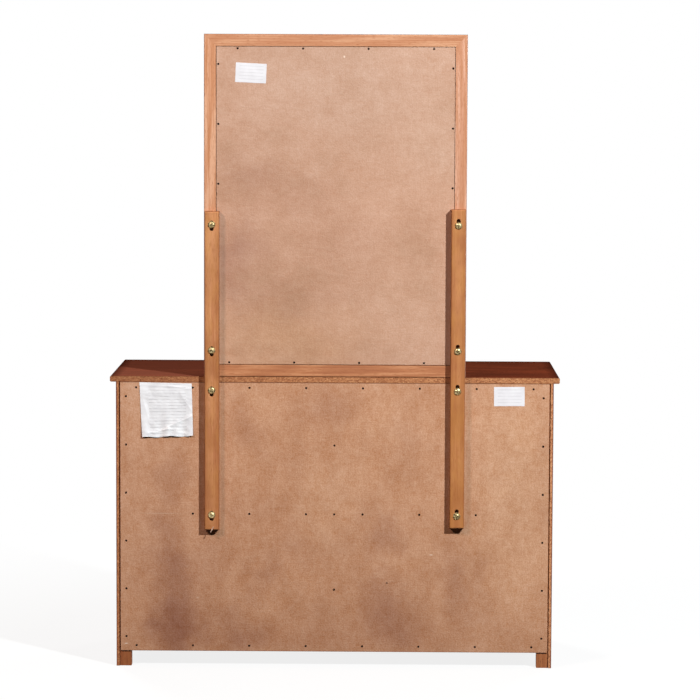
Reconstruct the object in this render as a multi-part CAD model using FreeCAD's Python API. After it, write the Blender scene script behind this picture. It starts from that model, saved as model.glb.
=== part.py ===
import FreeCAD, Part
import math
import os

# Dresser with a mirror: a case of six drawers on four feet, and a framed mirror that stands on the
# rear edge of the top, held upright by two slotted supports screwed to the backs of both.
# Millimetres, +Z up. The front faces -Y and left is -X. The origin lies on the floor, under the
# middle of the whole dresser. Depths are counted forwards from the plane of the back.

# Top board
TOP_WIDTH = 1220.0
TOP_DEPTH = 430.0
TOP_THICK = 15.9
TOP_EASE = 4.0
SIDE_OVERHANG = 16.3
FRONT_OVERHANG = 25.0

# Sides and feet
CASE_HEIGHT = 797.0
SIDE_THICK = 15.9
FOOT_HEIGHT = 42.4
SIDE_FOOT_LENGTH = 70.0
FOOT_CORNER_RADIUS = 14.0

# Back panel, the rabbets it lies in, and the posts and rails behind it
BACK_THICK = 3.2
RABBET_WIDTH = 8.0
BACK_EDGE_GAP = 3.7
REAR_POST_WIDTH = 24.5
REAR_POST_DEPTH = 28.0
BACK_RAIL_THICK = 18.0
BACK_RAIL_HEIGHT = 48.0
MIDDLE_BACK_RAIL_CENTRE = 421.0
PARTITION_THICK = 15.9

# Face frame round the drawers
FACE_THICK = 20.0
FACE_EASE = 2.0
POST_WIDTH = 45.0
MULLION_WIDTH = 45.0
TOP_RAIL_HEIGHT = 45.0
MIDDLE_RAIL_HEIGHT = 25.0
BOTTOM_RAIL_HEIGHT = 50.0

# Drawers
DRAWER_FRONT_THICK = 18.0
DRAWER_FRONT_LAP = 10.0
DRAWER_FRONT_EASE = 6.0
DRAWER_SIDE_THICK = 12.0
DRAWER_BACK_THICK = 12.0
DRAWER_BOTTOM_THICK = 4.0
DRAWER_TOP_CLEARANCE = 35.0
DRAWER_SIDE_CLEARANCE = 3.0
DRAWER_REAR_CLEARANCE = 9.0
GROOVE_DEPTH = 6.0
GROOVE_RISE = 8.0
GROOVE_SLACK = 0.2
GROOVE_END_GAP = 0.5

# Runners, guides and stops that carry the drawers
RUNNER_HEIGHT = 20.0
GUIDE_HEIGHT = 20.0
RUNNER_CLEARANCE = 0.3
GUIDE_CLEARANCE = 0.8
STOP_WIDTH = 40.0
STOP_THICK = 12.0
STOP_CATCH = 12.0

# Knobs
KNOB_SPACING = 272.0
KNOB_PROJECTION = 28.0
KNOB_HEAD_RADIUS = 16.0
KNOB_NECK_RADIUS = 7.0
KNOB_ROSE_RADIUS = 11.0
KNOB_ROSE_THICK = 3.0
KNOB_RIM = 4.0
KNOB_CROWN = 6.0
KNOB_SCREW_RADIUS = 2.0
KNOB_SCREW_BITE = 12.0
KNOB_SCREW_HEAD_RADIUS = 4.5
KNOB_SCREW_HEAD_THICK = 2.4
KNOB_HOLE_CLEARANCE = 0.3

# Mirror
MIRROR_WIDTH = 709.0
MIRROR_HEIGHT = 925.0
MIRROR_FRAME_WIDTH = 50.0
MIRROR_FRAME_THICK = 20.0
MIRROR_FRAME_EASE = 2.5
MIRROR_BEVEL = 7.0
BACKING_LEDGE = 9.6
GLASS_LAP = 8.0
GLASS_THICK = 4.0
GLASS_EDGE_GAP = 0.8
BACKING_THICK = 3.0
BACKING_RECESS = 1.2
BACKING_EDGE_GAP = 1.5

# Supports, their slots and their screws
SUPPORT_WIDTH = 40.0
SUPPORT_THICK = 19.0
SUPPORT_EASE = 4.0
SUPPORT_INSET = 2.0
SUPPORT_END = 39.0
SLOT_LENGTH = 28.0
SLOT_PLAY = 4.6
LEFT_SUPPORT_RISE = 4.3
RIGHT_SUPPORT_RISE = -3.0
CASE_SCREW_DROP = 20.0
MIRROR_SCREW_LOW = 73.0
MIRROR_SCREW_HIGH = 413.0
SCREW_RADIUS = 3.0
SCREW_HEAD_RADIUS = 7.0
SCREW_DOME = 2.2
SCREW_COVER = 5.0
SCREW_HOLE_CLEARANCE = 0.4
SCREW_BITE_CLEARANCE = 0.05
WASHER_FLARE = 3.0
WASHER_HEIGHT = 3.2
WASHER_RIM = 0.6
WASHER_LIP = 0.8
WASHER_CLEARANCE = 0.1
RECESS_LENGTH = 7.6
RECESS_WIDTH = 1.7
RECESS_DEPTH = 1.8
RECESS_TURN = 37.0

# Nails
NAIL_HEAD_RADIUS = 3.0
NAIL_HEAD_THICK = 0.8
NAIL_SHANK_RADIUS = 0.9
NAIL_BITE = 12.0
NAIL_CLEARANCE = 0.05
BACK_NAILS_ACROSS = 8
BACK_NAILS_DOWN = 6
NAIL_ROW_MARGIN = 14.3
NAIL_ROW_INSET = 15.0
NAIL_POST_INSET = 11.2
NAIL_COLUMN_MARGIN = 39.5
BACKING_NAIL_BITE = 7.0
BACKING_NAILS_ACROSS = 4
BACKING_NAILS_DOWN = 5
BACKING_NAIL_INSET = 4.8
BACKING_NAIL_ROW_MARGIN = 52.0
BACKING_NAIL_ROW_SHIFT = 22.0
BACKING_NAIL_COLUMN_TOP = 42.0
BACKING_NAIL_COLUMN_BOTTOM = 162.0
BACKING_NAIL_COLUMN_DROP = 10.0

# Places worked out from the sizes above
CASE_HALF = TOP_WIDTH / 2 - SIDE_OVERHANG
SIDE_INNER = CASE_HALF - SIDE_THICK
UNDER_TOP = CASE_HEIGHT - TOP_THICK
FACE_FRONT = TOP_DEPTH - FRONT_OVERHANG
FACE_BACK = FACE_FRONT - FACE_THICK
FRAME_START = BACK_THICK
POST_FRONT = FRAME_START + REAR_POST_DEPTH
RAIL_FRONT = FRAME_START + BACK_RAIL_THICK
REAR_POST_INNER = SIDE_INNER - REAR_POST_WIDTH
POST_INNER = CASE_HALF - POST_WIDTH
MULLION_HALF = MULLION_WIDTH / 2
OPENINGS_BOTTOM = FOOT_HEIGHT + BOTTOM_RAIL_HEIGHT
OPENINGS_TOP = UNDER_TOP - TOP_RAIL_HEIGHT
ROW_NAMES = ("bottom", "middle", "top")
SIDES = {"left": -1, "right": 1}
OPENING_HEIGHT = (
    OPENINGS_TOP - OPENINGS_BOTTOM - (len(ROW_NAMES) - 1) * MIDDLE_RAIL_HEIGHT
) / len(ROW_NAMES)
ROW_PITCH = OPENING_HEIGHT + MIDDLE_RAIL_HEIGHT
BOX_INNER = MULLION_HALF + DRAWER_SIDE_CLEARANCE
BOX_OUTER = POST_INNER - DRAWER_SIDE_CLEARANCE
BOX_REAR = max(RAIL_FRONT, POST_FRONT) + DRAWER_REAR_CLEARANCE
COLUMN_CENTRE = (MULLION_HALF + POST_INNER) / 2
MIRROR_BOTTOM = CASE_HEIGHT
MIRROR_TOP = MIRROR_BOTTOM + MIRROR_HEIGHT
GLASS_POCKET = MIRROR_FRAME_WIDTH - GLASS_LAP
BACKING_POCKET = GLASS_POCKET - BACKING_LEDGE
SUPPORT_CENTRE = MIRROR_WIDTH / 2 - SUPPORT_INSET - SUPPORT_WIDTH / 2
SLOT_WIDTH = 2 * SCREW_RADIUS + SLOT_PLAY
WASHER_RADIUS = SCREW_HEAD_RADIUS + WASHER_FLARE
CASE_SCREW_HEIGHTS = (MIDDLE_BACK_RAIL_CENTRE, UNDER_TOP - CASE_SCREW_DROP)
MIRROR_SCREW_HEIGHTS = (MIRROR_BOTTOM + MIRROR_SCREW_LOW, MIRROR_BOTTOM + MIRROR_SCREW_HIGH)
SUPPORT_BOTTOM = CASE_SCREW_HEIGHTS[0] - SUPPORT_END
SUPPORT_TOP = MIRROR_SCREW_HEIGHTS[1] + SUPPORT_END
FRONT_REACH = max(TOP_DEPTH, FACE_FRONT + DRAWER_FRONT_THICK + KNOB_PROJECTION)
REAR_REACH = SUPPORT_THICK + WASHER_HEIGHT + SCREW_DOME
Y_BACK = (FRONT_REACH - REAR_REACH) / 2
SAME_PLACE = 0.001
EASE_LIMIT = 0.45


def vector(x, y, z):
    return FreeCAD.Vector(x, y, z)


def slab(x, depth, z):
    """A board from its limits across, forwards from the back plane, and upwards."""
    return Part.makeBox(
        x[1] - x[0], depth[1] - depth[0], z[1] - z[0], vector(x[0], Y_BACK - depth[1], z[0])
    )


def across(sign, inner, outer):
    """Limits across for a piece on one side, from its distances to the centre line."""
    return (min(sign * inner, sign * outer), max(sign * inner, sign * outer))


def eased(shape, radius, chosen):
    """The shape with the chosen straight edges rounded over."""
    return shape.makeFillet(radius, [edge for edge in shape.Edges if chosen(edge.BoundBox)])


def on_plane(low, high, place):
    """Whether a box that runs from low to high lies flat on a plane."""
    return abs(low - place) < SAME_PLACE and abs(high - place) < SAME_PLACE


def turned(start, steps, x, depth, z, way):
    """A turned solid about a front-to-back line through (x, z). Points are (radius, reach): reach
    counts from the given depth, towards the back when way is 1 and towards the front when it is -1.
    A step is a point to draw a line to, or a pair of points to draw an arc through."""
    edges = []
    here = vector(start[0], way * start[1], 0)
    for step in steps:
        if isinstance(step[0], tuple):
            middle = vector(step[0][0], way * step[0][1], 0)
            end = vector(step[1][0], way * step[1][1], 0)
            edges.append(Part.Arc(here, middle, end).toShape())
        else:
            end = vector(step[0], way * step[1], 0)
            edges.append(Part.LineSegment(here, end).toShape())
        here = end
    solid = Part.Face(Part.Wire(edges)).revolve(vector(0, 0, 0), vector(0, 1, 0), 360)
    solid.translate(vector(x, Y_BACK - depth, z))
    return solid


def cap(radius, base, rise):
    """The arc of a turned piece's rounded end, from its rim to its middle."""
    sphere = (radius ** 2 + rise ** 2) / (2 * rise)
    half_angle = math.asin(radius / sphere) / 2
    halfway = (sphere * math.sin(half_angle), base + rise - sphere * (1 - math.cos(half_angle)))
    return (halfway, (0, base + rise))


def rod(radius, x, depth, z):
    """A round bar, or the hole for one, that runs straight forwards between two depths."""
    return Part.makeCylinder(radius, depth[1] - depth[0], vector(x, Y_BACK - depth[1], z), vector(0, 1, 0))


def spread(first, last, count):
    """Evenly spaced places from the first to the last."""
    return [first + (last - first) * i / (count - 1) for i in range(count)]


def write(name, shape):
    shape.exportStep(os.path.join("parts", name + ".step"))


os.makedirs("parts", exist_ok=True)


# Nails: each has a flat head let in flush with the panel and a shank in the wood behind it
def nail(x, surface, z, length, grow):
    head = NAIL_HEAD_RADIUS + grow
    shank = NAIL_SHANK_RADIUS + grow
    steps = [
        (head, 0),
        (head, -NAIL_HEAD_THICK - grow),
        (shank, -NAIL_HEAD_THICK - grow),
        (shank, -length - grow),
        (0, -length - grow),
        (0, 0),
    ]
    return turned((0, 0), steps, x, surface, z, 1)


def nails(places, surface, length, grow=0.0):
    return Part.makeCompound([nail(x, surface, z, length, grow) for x, z in places])


row_end = REAR_POST_INNER - NAIL_ROW_MARGIN
row_places = spread(-row_end, row_end, BACK_NAILS_ACROSS)
column_places = spread(
    FOOT_HEIGHT + NAIL_COLUMN_MARGIN, UNDER_TOP - NAIL_COLUMN_MARGIN, BACK_NAILS_DOWN
)
back_nail_places = [(x, UNDER_TOP - NAIL_ROW_INSET) for x in row_places]
back_nail_places += [(x, FOOT_HEIGHT + NAIL_ROW_INSET) for x in row_places]
back_nail_places += [(x, MIDDLE_BACK_RAIL_CENTRE) for x in row_places[1:-1] + [0.0]]
for sign in SIDES.values():
    back_nail_places += [(sign * (SIDE_INNER - NAIL_POST_INSET), z) for z in column_places]
back_nail_places += [(0.0, column_places[1]), (0.0, column_places[-2])]
back_nail_length = BACK_THICK + NAIL_BITE
back_nail_holes = nails(back_nail_places, 0.0, back_nail_length, NAIL_CLEARANCE)
write("back_panel_nails", nails(back_nail_places, 0.0, back_nail_length))

# Screws that hold the supports: an oval head with a cross recess, sunk in a cup washer
screw_columns = [sign * SUPPORT_CENTRE for sign in SIDES.values()]


def support_screw(x, z, tip, turn):
    """The screw and its washer, standing on the back of a support, with the tip at a depth."""
    tip_reach = -SUPPORT_THICK - tip
    crown = WASHER_HEIGHT + SCREW_DOME
    steps = [
        (SCREW_RADIUS, tip_reach),
        (SCREW_RADIUS, WASHER_RIM),
        (SCREW_HEAD_RADIUS, WASHER_HEIGHT),
        cap(SCREW_HEAD_RADIUS, WASHER_HEIGHT, SCREW_DOME),
        (0, tip_reach),
    ]
    screw = turned((0, tip_reach), steps, x, -SUPPORT_THICK, z, 1)
    for extra in (0.0, 90.0):
        bar = Part.makeBox(
            RECESS_LENGTH, RECESS_DEPTH, RECESS_WIDTH, vector(-RECESS_LENGTH / 2, 0, -RECESS_WIDTH / 2)
        )
        bar.rotate(vector(0, 0, 0), vector(0, 1, 0), turn + extra)
        bar.translate(vector(x, Y_BACK + SUPPORT_THICK + crown - RECESS_DEPTH, z))
        screw = screw.cut(bar)
    bore = SCREW_RADIUS + WASHER_CLEARANCE
    cup = SCREW_HEAD_RADIUS + WASHER_CLEARANCE
    washer_steps = [
        (WASHER_RADIUS, 0),
        (WASHER_RADIUS, WASHER_RIM),
        (cup + WASHER_LIP, WASHER_HEIGHT),
        (cup, WASHER_HEIGHT),
        (bore, WASHER_RIM),
        (bore, 0),
    ]
    washer = turned((bore, 0), washer_steps, x, -SUPPORT_THICK, z, 1)
    return [screw, washer]


def screw_set(heights, tip):
    solids = []
    for x in screw_columns:
        for z in heights:
            solids += support_screw(x, z, tip, RECESS_TURN * len(solids))
    return Part.makeCompound(solids)


def screw_holes(heights, clearance, depth):
    rods = [rod(SCREW_RADIUS + clearance, x, depth, z) for x in screw_columns for z in heights]
    return Part.makeCompound(rods)


case_screw_tip = RAIL_FRONT - SCREW_COVER
mirror_screw_tip = MIRROR_FRAME_THICK - SCREW_COVER
case_screw_bores = screw_holes(
    CASE_SCREW_HEIGHTS, SCREW_BITE_CLEARANCE, (FRAME_START, case_screw_tip + SCREW_BITE_CLEARANCE)
)
write("case_screws", screw_set(CASE_SCREW_HEIGHTS, case_screw_tip))
write("mirror_screws", screw_set(MIRROR_SCREW_HEIGHTS, mirror_screw_tip))

# Top board: its sides and front are rounded over, and its rear edge is left square
top = slab((-TOP_WIDTH / 2, TOP_WIDTH / 2), (0, TOP_DEPTH), (UNDER_TOP, CASE_HEIGHT))
top_ease = min(TOP_EASE, EASE_LIMIT * TOP_THICK)
write("top_board", eased(top, top_ease, lambda box: not on_plane(box.YMin, box.YMax, Y_BACK)))

# Side panels: rabbeted for the back panel, and cut away below to leave a foot at each end
for side, sign in SIDES.items():
    panel = slab(across(sign, SIDE_INNER, CASE_HALF), (0, FACE_BACK), (0, UNDER_TOP))
    rabbet = slab(across(sign, SIDE_INNER, SIDE_INNER + RABBET_WIDTH), (0, BACK_THICK), (0, UNDER_TOP))
    arch_depth = (SIDE_FOOT_LENGTH, FACE_BACK - SIDE_FOOT_LENGTH)
    arch = slab(across(sign, SIDE_INNER, CASE_HALF), arch_depth, (0, FOOT_HEIGHT))
    arch = eased(
        arch,
        min(FOOT_CORNER_RADIUS, EASE_LIMIT * FOOT_HEIGHT),
        lambda box: on_plane(box.ZMin, box.ZMax, FOOT_HEIGHT) and box.XLength > box.YLength,
    )
    write("side_panel_" + side, panel.cut(rabbet).cut(arch))

# Back panel: thin hardboard between the rabbets, drilled for the screws and nails
back_half = SIDE_INNER + RABBET_WIDTH - BACK_EDGE_GAP
back_panel = slab((-back_half, back_half), (0, BACK_THICK), (FOOT_HEIGHT, UNDER_TOP))
panel_bores = screw_holes(CASE_SCREW_HEIGHTS, SCREW_HOLE_CLEARANCE, (0, BACK_THICK))
write("back_panel", back_panel.cut(panel_bores).cut(back_nail_holes))

# Rear posts: the panel is nailed to them, and their lower ends are the rear feet
for side, sign in SIDES.items():
    post = slab(across(sign, REAR_POST_INNER, SIDE_INNER), (FRAME_START, POST_FRONT), (0, UNDER_TOP))
    write("rear_post_" + side, post.cut(back_nail_holes))

# Back rails between the rear posts, under the top, at the supports' lower screws and at the bottom
rail_bottoms = {
    "back_top_rail": UNDER_TOP - BACK_RAIL_HEIGHT,
    "back_middle_rail": MIDDLE_BACK_RAIL_CENTRE - BACK_RAIL_HEIGHT / 2,
    "back_bottom_rail": FOOT_HEIGHT,
}
back_rail_solids = []
for name, bottom in rail_bottoms.items():
    span = (-REAR_POST_INNER, REAR_POST_INNER)
    rail = slab(span, (FRAME_START, RAIL_FRONT), (bottom, bottom + BACK_RAIL_HEIGHT))
    back_rail_solids.append(rail)
    write(name, rail.cut(back_nail_holes).cut(case_screw_bores))

# Centre partition between the two columns of drawers, notched at the rear round the back rails
half = PARTITION_THICK / 2
partition = slab((-half, half), (FRAME_START, FACE_BACK), (FOOT_HEIGHT, UNDER_TOP))
write("centre_partition", partition.cut(Part.makeCompound(back_rail_solids)).cut(back_nail_holes))

# Face frame: two posts down to the floor, a mullion, and rails above, between and below the drawers
face = (FACE_BACK, FACE_FRONT)
face_ease = min(FACE_EASE, EASE_LIMIT * FACE_THICK)
for side, sign in SIDES.items():
    post = slab(across(sign, POST_INNER, CASE_HALF), face, (0, UNDER_TOP))
    outer_face = sign * CASE_HALF
    front_plane = Y_BACK - FACE_FRONT
    post = eased(
        post,
        face_ease,
        lambda box: on_plane(box.XMin, box.XMax, outer_face) and on_plane(box.YMin, box.YMax, front_plane),
    )
    write("front_post_" + side, post)
write("front_mullion", slab((-MULLION_HALF, MULLION_HALF), face, (OPENINGS_BOTTOM, OPENINGS_TOP)))
write("front_top_rail", slab((-POST_INNER, POST_INNER), face, (OPENINGS_TOP, UNDER_TOP)))
write("front_bottom_rail", slab((-POST_INNER, POST_INNER), face, (FOOT_HEIGHT, OPENINGS_BOTTOM)))
middle_rails = []
for sign in SIDES.values():
    for row in range(1, len(ROW_NAMES)):
        rail_top = OPENINGS_BOTTOM + row * ROW_PITCH
        middle_rails.append(
            slab(across(sign, MULLION_HALF, POST_INNER), face, (rail_top - MIDDLE_RAIL_HEIGHT, rail_top))
        )
write("front_middle_rails", Part.makeCompound(middle_rails))

# Runners under the drawers' sides, with guides beside them, and stops behind the rails above
runners = []
stops = []
run_depth = (POST_FRONT, FACE_BACK)
stop_drop = DRAWER_TOP_CLEARANCE + STOP_CATCH
for sign in SIDES.values():
    for row in range(len(ROW_NAMES)):
        floor = OPENINGS_BOTTOM + row * ROW_PITCH
        base = (floor - RUNNER_HEIGHT, floor)
        lip = (floor, floor + GUIDE_HEIGHT)
        runners.append(slab(across(sign, half, BOX_INNER + DRAWER_SIDE_THICK), run_depth, base))
        runners.append(slab(across(sign, half, BOX_INNER - GUIDE_CLEARANCE), run_depth, lip))
        runners.append(slab(across(sign, BOX_OUTER - DRAWER_SIDE_THICK, SIDE_INNER), run_depth, base))
        runners.append(slab(across(sign, BOX_OUTER + GUIDE_CLEARANCE, SIDE_INNER), run_depth, lip))
        rail_bottom = floor + OPENING_HEIGHT
        stops.append(
            slab(
                across(sign, COLUMN_CENTRE - STOP_WIDTH / 2, COLUMN_CENTRE + STOP_WIDTH / 2),
                (FACE_BACK - STOP_THICK, FACE_BACK),
                (rail_bottom - stop_drop, rail_bottom + MIDDLE_RAIL_HEIGHT),
            )
        )
write("drawer_runners", Part.makeCompound(runners))
write("drawer_stops", Part.makeCompound(stops))


# Knobs: turned brass, each drawn on to the drawer front by a screw from inside
def knob_and_screw(x, z):
    face_depth = FACE_FRONT + DRAWER_FRONT_THICK
    bore = KNOB_SCREW_RADIUS + SCREW_BITE_CLEARANCE
    rim_top = KNOB_PROJECTION - KNOB_CROWN
    rim_bottom = rim_top - KNOB_RIM
    flare = ((KNOB_NECK_RADIUS + KNOB_HEAD_RADIUS) / 2, (KNOB_ROSE_THICK + rim_bottom) / 2 + KNOB_RIM)
    bore_end = KNOB_SCREW_BITE + SCREW_BITE_CLEARANCE
    steps = [
        (KNOB_ROSE_RADIUS, 0),
        (KNOB_ROSE_RADIUS, KNOB_ROSE_THICK),
        (KNOB_NECK_RADIUS, KNOB_ROSE_THICK),
        (flare, (KNOB_HEAD_RADIUS, rim_bottom)),
        (KNOB_HEAD_RADIUS, rim_top),
        cap(KNOB_HEAD_RADIUS, rim_top, KNOB_CROWN),
        (0, bore_end),
        (bore, bore_end),
        (bore, 0),
    ]
    knob = turned((bore, 0), steps, x, face_depth, z, -1)
    tip = KNOB_SCREW_BITE
    under_head = -DRAWER_FRONT_THICK
    top_of_head = under_head - KNOB_SCREW_HEAD_THICK
    screw_steps = [
        (0, tip),
        (KNOB_SCREW_RADIUS, tip),
        (KNOB_SCREW_RADIUS, under_head),
        (KNOB_SCREW_HEAD_RADIUS, under_head),
        (KNOB_SCREW_HEAD_RADIUS, top_of_head),
        (0, top_of_head),
    ]
    screw = turned((0, top_of_head), screw_steps, x, face_depth, z, -1)
    return [knob, screw]


# Drawers: a lapped front on a box of two grooved sides, a back, and a thin bottom in the grooves
for side, sign in SIDES.items():
    for row, row_name in enumerate(ROW_NAMES):
        drawer = "drawer_" + row_name + "_" + side + "_"
        floor = OPENINGS_BOTTOM + row * ROW_PITCH
        box_z = (floor + RUNNER_CLEARANCE, floor + OPENING_HEIGHT - DRAWER_TOP_CLEARANCE)
        box_depth = (BOX_REAR, FACE_FRONT)
        panel_z = (box_z[0] + GROOVE_RISE, box_z[0] + GROOVE_RISE + DRAWER_BOTTOM_THICK)
        groove_z = (panel_z[0], panel_z[1] + GROOVE_SLACK)
        reach = DRAWER_SIDE_THICK - GROOVE_DEPTH
        groove = slab(
            across(sign, BOX_INNER + reach, BOX_OUTER - reach),
            (BOX_REAR, FACE_FRONT + GROOVE_DEPTH),
            groove_z,
        )
        walls = [
            slab(across(sign, BOX_INNER, BOX_INNER + DRAWER_SIDE_THICK), box_depth, box_z),
            slab(across(sign, BOX_OUTER - DRAWER_SIDE_THICK, BOX_OUTER), box_depth, box_z),
        ]
        write(drawer + "sides", Part.makeCompound([wall.cut(groove) for wall in walls]))
        panel_reach = reach + GROOVE_END_GAP
        panel = slab(
            across(sign, BOX_INNER + panel_reach, BOX_OUTER - panel_reach),
            (BOX_REAR, FACE_FRONT + GROOVE_DEPTH - GROOVE_END_GAP),
            panel_z,
        )
        write(drawer + "bottom", panel)
        back = slab(
            across(sign, BOX_INNER + DRAWER_SIDE_THICK, BOX_OUTER - DRAWER_SIDE_THICK),
            (BOX_REAR, BOX_REAR + DRAWER_BACK_THICK),
            (panel_z[1], box_z[1]),
        )
        write(drawer + "back", back)
        front = slab(
            across(sign, MULLION_HALF - DRAWER_FRONT_LAP, POST_INNER + DRAWER_FRONT_LAP),
            (FACE_FRONT, FACE_FRONT + DRAWER_FRONT_THICK),
            (floor - DRAWER_FRONT_LAP, floor + OPENING_HEIGHT + DRAWER_FRONT_LAP),
        )
        show = Y_BACK - FACE_FRONT - DRAWER_FRONT_THICK
        front_ease = min(DRAWER_FRONT_EASE, EASE_LIMIT * DRAWER_FRONT_THICK)
        front = eased(front, front_ease, lambda box: on_plane(box.YMin, box.YMax, show))
        knob_z = floor + OPENING_HEIGHT / 2
        knob_solids = []
        knob_bores = []
        for turn in (-1, 1):
            knob_x = sign * COLUMN_CENTRE + turn * KNOB_SPACING / 2
            knob_solids += knob_and_screw(knob_x, knob_z)
            through = (FACE_FRONT, FACE_FRONT + DRAWER_FRONT_THICK)
            knob_bores.append(rod(KNOB_SCREW_RADIUS + KNOB_HOLE_CLEARANCE, knob_x, through, knob_z))
        write(drawer + "front", front.cut(groove).cut(Part.makeCompound(knob_bores)))
        write(drawer + "knobs", Part.makeCompound(knob_solids))

# Mirror frame: four mitred lengths with a ledge for the glass and a wider one for the backing
mirror_half = MIRROR_WIDTH / 2
glass_depth = (BACKING_RECESS + BACKING_THICK, BACKING_RECESS + BACKING_THICK + GLASS_THICK)


def pane(inset, depth):
    """A board as large as the mirror, less an inset all round."""
    z = (MIRROR_BOTTOM + inset, MIRROR_TOP - inset)
    return slab((-mirror_half + inset, mirror_half - inset), depth, z)


def corners(inset, depth):
    """The corners of such a board at one depth, from the lower left round and back to it."""
    y = Y_BACK - depth
    x = mirror_half - inset
    low = MIRROR_BOTTOM + inset
    high = MIRROR_TOP - inset
    places = [(-x, low), (x, low), (x, high), (-x, high), (-x, low)]
    return [vector(along, y, up) for along, up in places]


frame_ease = min(MIRROR_FRAME_EASE, EASE_LIMIT * MIRROR_FRAME_THICK)
frame_board = pane(0.0, (0, MIRROR_FRAME_THICK))
frame_board = eased(frame_board, frame_ease, lambda box: box.YLength < SAME_PLACE)
bevel_start = MIRROR_FRAME_THICK - MIRROR_BEVEL
bevel = Part.makeLoft(
    [
        Part.makePolygon(corners(MIRROR_FRAME_WIDTH, bevel_start)),
        Part.makePolygon(corners(MIRROR_FRAME_WIDTH - MIRROR_BEVEL, MIRROR_FRAME_THICK)),
    ],
    True,
    True,
)
frame_board = frame_board.cut(pane(MIRROR_FRAME_WIDTH, (0, MIRROR_FRAME_THICK))).cut(bevel)
frame_board = frame_board.cut(pane(GLASS_POCKET, (0, glass_depth[1])))
frame_board = frame_board.cut(pane(BACKING_POCKET, (0, glass_depth[0])))

# Nails of the backing, driven by eye: the lower row lies further right, and the left column lower
nail_inset = BACKING_POCKET + BACKING_EDGE_GAP + BACKING_NAIL_INSET
nail_row_end = mirror_half - nail_inset - BACKING_NAIL_ROW_MARGIN
nail_row = spread(-nail_row_end, nail_row_end, BACKING_NAILS_ACROSS)
nail_column = spread(
    MIRROR_BOTTOM + nail_inset + BACKING_NAIL_COLUMN_BOTTOM,
    MIRROR_TOP - nail_inset - BACKING_NAIL_COLUMN_TOP,
    BACKING_NAILS_DOWN,
)
nail_edge = mirror_half - nail_inset
backing_nail_places = [(x, MIRROR_TOP - nail_inset) for x in nail_row]
backing_nail_places += [(x + BACKING_NAIL_ROW_SHIFT, MIRROR_BOTTOM + nail_inset) for x in nail_row]
backing_nail_places += [(nail_edge, z) for z in nail_column]
backing_nail_places += [(-nail_edge, z - BACKING_NAIL_COLUMN_DROP) for z in nail_column]
backing_nail_length = BACKING_THICK + BACKING_NAIL_BITE
backing_nail_holes = nails(backing_nail_places, BACKING_RECESS, backing_nail_length, NAIL_CLEARANCE)
write("mirror_backing_nails", nails(backing_nail_places, BACKING_RECESS, backing_nail_length))

mirror_bores = screw_holes(
    MIRROR_SCREW_HEIGHTS, SCREW_BITE_CLEARANCE, (0, mirror_screw_tip + SCREW_BITE_CLEARANCE)
)
frame_board = frame_board.cut(backing_nail_holes).cut(mirror_bores)
outer = corners(0.0, 0.0)
inner = corners(MIRROR_FRAME_WIDTH, 0.0)
for i, name in enumerate(("bottom", "right", "top", "left")):
    mitred = [outer[i], outer[i + 1], inner[i + 1], inner[i], outer[i]]
    outline = Part.Face(Part.makePolygon(mitred))
    length = outline.extrude(vector(0, -MIRROR_FRAME_THICK, 0))
    write("mirror_frame_" + name, frame_board.common(length))

# Glass and the backing board that holds it in the frame
write("mirror_glass", pane(GLASS_POCKET + GLASS_EDGE_GAP, glass_depth))
backing_depth = (BACKING_RECESS, BACKING_RECESS + BACKING_THICK)
backing = pane(BACKING_POCKET + BACKING_EDGE_GAP, backing_depth)
write("mirror_backing", backing.cut(backing_nail_holes))

# Supports: each has two slots for the case's screws and two for the mirror's, and sits in them by eye
rises = {"left": LEFT_SUPPORT_RISE, "right": RIGHT_SUPPORT_RISE}
for side, sign in SIDES.items():
    centre = sign * SUPPORT_CENTRE
    support = slab(
        (centre - SUPPORT_WIDTH / 2, centre + SUPPORT_WIDTH / 2),
        (-SUPPORT_THICK, 0),
        (SUPPORT_BOTTOM + rises[side], SUPPORT_TOP + rises[side]),
    )
    rear = Y_BACK + SUPPORT_THICK
    support_ease = min(SUPPORT_EASE, EASE_LIMIT * SUPPORT_THICK)
    support = eased(support, support_ease, lambda box: on_plane(box.YMin, box.YMax, rear))
    for height in CASE_SCREW_HEIGHTS + MIRROR_SCREW_HEIGHTS:
        middle = height + rises[side]
        straight = (SLOT_LENGTH - SLOT_WIDTH) / 2
        through = (-SUPPORT_THICK, 0)
        slot = slab(
            (centre - SLOT_WIDTH / 2, centre + SLOT_WIDTH / 2),
            through,
            (middle - straight, middle + straight),
        )
        for end in (middle - straight, middle + straight):
            slot = slot.fuse(rod(SLOT_WIDTH / 2, centre, through, end))
        support = support.cut(slot)
    write("support_" + side, support)
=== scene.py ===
import math

import bmesh
import bpy
from mathutils import Matrix, Vector, noise


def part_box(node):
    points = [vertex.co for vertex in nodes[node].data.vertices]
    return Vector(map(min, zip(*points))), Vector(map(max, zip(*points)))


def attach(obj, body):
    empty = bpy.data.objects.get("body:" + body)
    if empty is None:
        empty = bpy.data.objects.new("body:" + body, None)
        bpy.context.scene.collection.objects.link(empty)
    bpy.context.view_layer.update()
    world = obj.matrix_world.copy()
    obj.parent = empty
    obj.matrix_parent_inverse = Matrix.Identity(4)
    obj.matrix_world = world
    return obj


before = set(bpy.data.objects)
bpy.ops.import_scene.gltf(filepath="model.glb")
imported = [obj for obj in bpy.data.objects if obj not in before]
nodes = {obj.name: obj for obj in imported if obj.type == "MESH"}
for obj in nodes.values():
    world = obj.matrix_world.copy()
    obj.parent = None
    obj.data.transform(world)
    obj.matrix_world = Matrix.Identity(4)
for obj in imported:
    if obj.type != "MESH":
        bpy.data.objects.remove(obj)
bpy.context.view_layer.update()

# Inner frame of the case: back rails, centre partition, and the drawers' runners, guides and stops.
# Planed rubberwood, left bare because it is never seen, glued and screwed together.
MM_PER_METRE = 1000.0
ACROSS, FORWARDS, UPRIGHT = 0, 1, 2
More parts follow.
